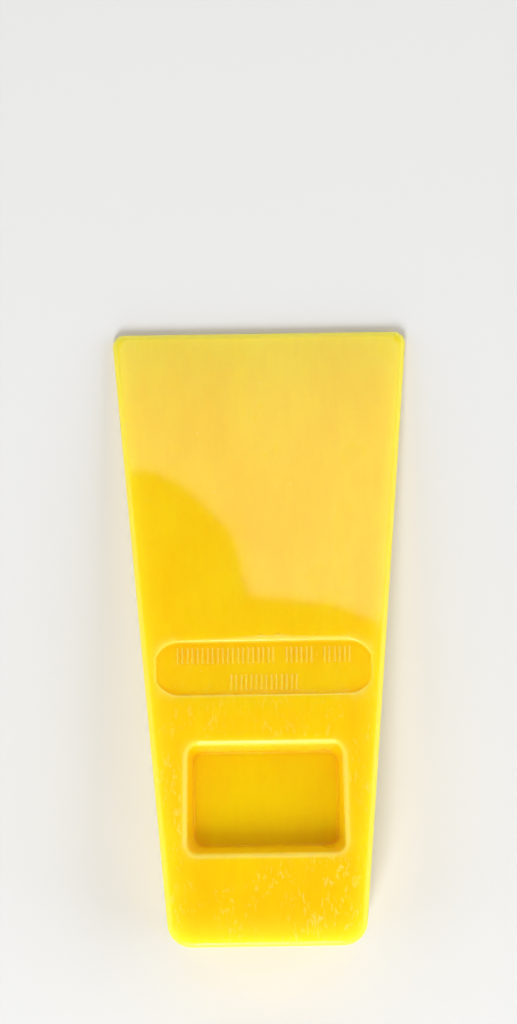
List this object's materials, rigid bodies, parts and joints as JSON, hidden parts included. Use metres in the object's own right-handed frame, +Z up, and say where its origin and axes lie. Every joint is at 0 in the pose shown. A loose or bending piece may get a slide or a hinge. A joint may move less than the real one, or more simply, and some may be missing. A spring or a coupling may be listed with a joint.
{
  "type": "felling wedge",
  "caption": "Plastic felling wedge: thick striking head tapering to a wide blunt thin edge, with a cored pocket and a recessed panel in each broad face.",
  "frame": {"origin": "under the middle of the footprint, on the lower broad face that the wedge lies on", "axes": "+X across the wedge, +Y along its length towards the thin edge, +Z up through its thickness"},
  "size_m": [0.06, 0.1254, 0.0218],
  "materials": {
    "yellow_plastic": "satin, slightly translucent moulded plastic"
  },
  "bodies": {
    "root": {"wedge_body": "yellow_plastic"}
  },
  "joints": []
}
